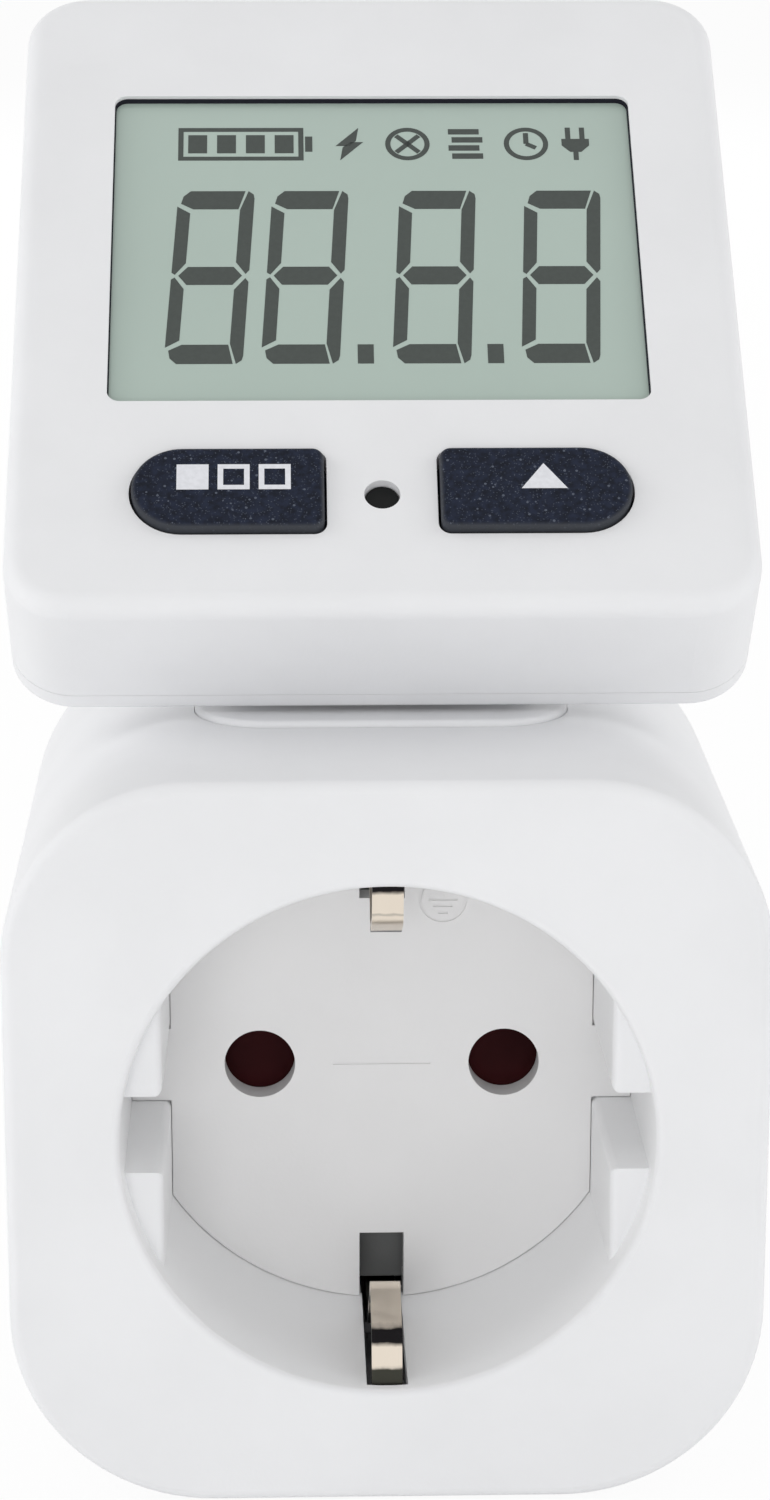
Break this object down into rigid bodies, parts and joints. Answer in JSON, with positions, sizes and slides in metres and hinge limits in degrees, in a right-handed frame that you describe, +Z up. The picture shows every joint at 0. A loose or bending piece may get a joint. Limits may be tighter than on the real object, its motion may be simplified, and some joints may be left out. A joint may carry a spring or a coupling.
{
  "type": "plug-through energy meter",
  "caption": "Plug-in energy cost meter: grounded pass-through socket with rear plug and a tilting display head with keys, reset and segment display.",
  "frame": {"origin": "centre of the plug's end face, where it meets the floor of the wall socket", "axes": "+Y out of the plug's end face into the wall, +Z up towards the display head, +X to the right seen from the front"},
  "size_m": [0.0564, 0.082, 0.1072],
  "materials": {
    "shell": "fine matt white ABS",
    "recess_plastic": "plain white thermoplastic",
    "shutter_plastic": "dark red-brown thermoplastic",
    "key_rubber": "speckled charcoal silicone",
    "dome_rubber": "translucent silicone",
    "reset_plastic": "black thermoplastic",
    "carrier_plastic": "dark grey thermoplastic",
    "nickel": "bright nickel-plated brass",
    "brass": "bare contact brass",
    "screw_steel": "zinc-plated steel",
    "spring_steel": "spring steel",
    "glass": "grey-green liquid crystal panes",
    "reflector": "grey-green reflector film",
    "frame_plastic": "black thermoplastic",
    "elastomer": "striped elastomer",
    "board": "green solder mask over glass laminate",
    "component_black": "moulded black",
    "component_yellow": "box capacitor yellow",
    "component_blue": "blue varistor lacquer",
    "component_can": "drawn metal can",
    "header_plastic": "cream connector plastic",
    "lead_pvc": "grey flat lead"
  },
  "bodies": {
    "socket_body": {"front_cover": "shell", "rear_cover": "shell", "plug_body": "shell", "socket_floor": "recess_plastic", "shutter_spring": "spring_steel", "contact_carrier": "carrier_plastic", "contact_sleeve_left": "brass", "contact_sleeve_right": "brass", "earth_strap": "nickel", "carrier_screws": "screw_steel", "main_board": "board", "board_screws": "screw_steel", "filter_capacitor": "component_yellow", "supply_capacitor": "component_can", "varistor": "component_blue", "fuse": "component_black", "shunt": "brass", "metering_chip": "component_black", "main_header": "header_plastic", "plug_pin_left": "nickel", "plug_pin_right": "nickel", "pin_clamp": "carrier_plastic", "plug_earth_contacts": "nickel", "housing_screws": "screw_steel", "hinge_base": "shell", "hinge_pins": "screw_steel", "friction_washers": "spring_steel", "display_lead_lower": "lead_pvc", "display_lead_hinge": "lead_pvc"},
    "head": {"head_front_cover": "shell", "head_rear_cover": "shell", "head_screws": "screw_steel", "lcd_glass": "glass", "lcd_reflector": "reflector", "elastomer_strips": "elastomer", "lcd_frame": "frame_plastic", "display_board": "board", "display_board_screws": "screw_steel", "backup_cell": "component_can", "cell_clip": "nickel", "controller_chip": "component_black", "crystal": "component_can", "display_header": "header_plastic", "mode_dome": "dome_rubber", "up_dome": "dome_rubber", "reset_switch": "component_black", "display_lead_upper": "lead_pvc"},
    "mode_key": {"mode_button": "key_rubber"},
    "up_key": {"up_button": "key_rubber"},
    "reset_key": {"reset_plunger": "reset_plastic"},
    "shutter_blind": {"shutter": "shutter_plastic"}
  },
  "joints": [
    {"name": "head_tilt", "type": "hinge", "parent": "socket_body", "child": "head", "pos_m": [0, -0.03212, 0.03306], "axis": [-1, 0, 0], "range_deg": [0, 40], "deforming": ["display_lead_hinge"]},
    {"name": "mode_press", "type": "slide", "parent": "head", "child": "mode_key", "axis": [0, 0.6428, -0.766], "range_m": [0, 0.0007], "stiffness_N_per_m": 1500, "deforming": ["mode_dome"]},
    {"name": "up_press", "type": "slide", "parent": "head", "child": "up_key", "axis": [0, 0.6428, -0.766], "range_m": [0, 0.0007], "stiffness_N_per_m": 1500, "deforming": ["up_dome"]},
    {"name": "reset_press", "type": "slide", "parent": "head", "child": "reset_key", "axis": [0, 0.6428, -0.766], "range_m": [0, 0.00025], "stiffness_N_per_m": 3000},
    {"name": "shutter_turn", "type": "hinge", "parent": "socket_body", "child": "shutter_blind", "pos_m": [0, -0.0426, 0], "axis": [0, -1, 0], "range_deg": [0, 42], "stiffness_Nm_per_rad": 0.01, "deforming": ["shutter_spring"]}
  ]
}
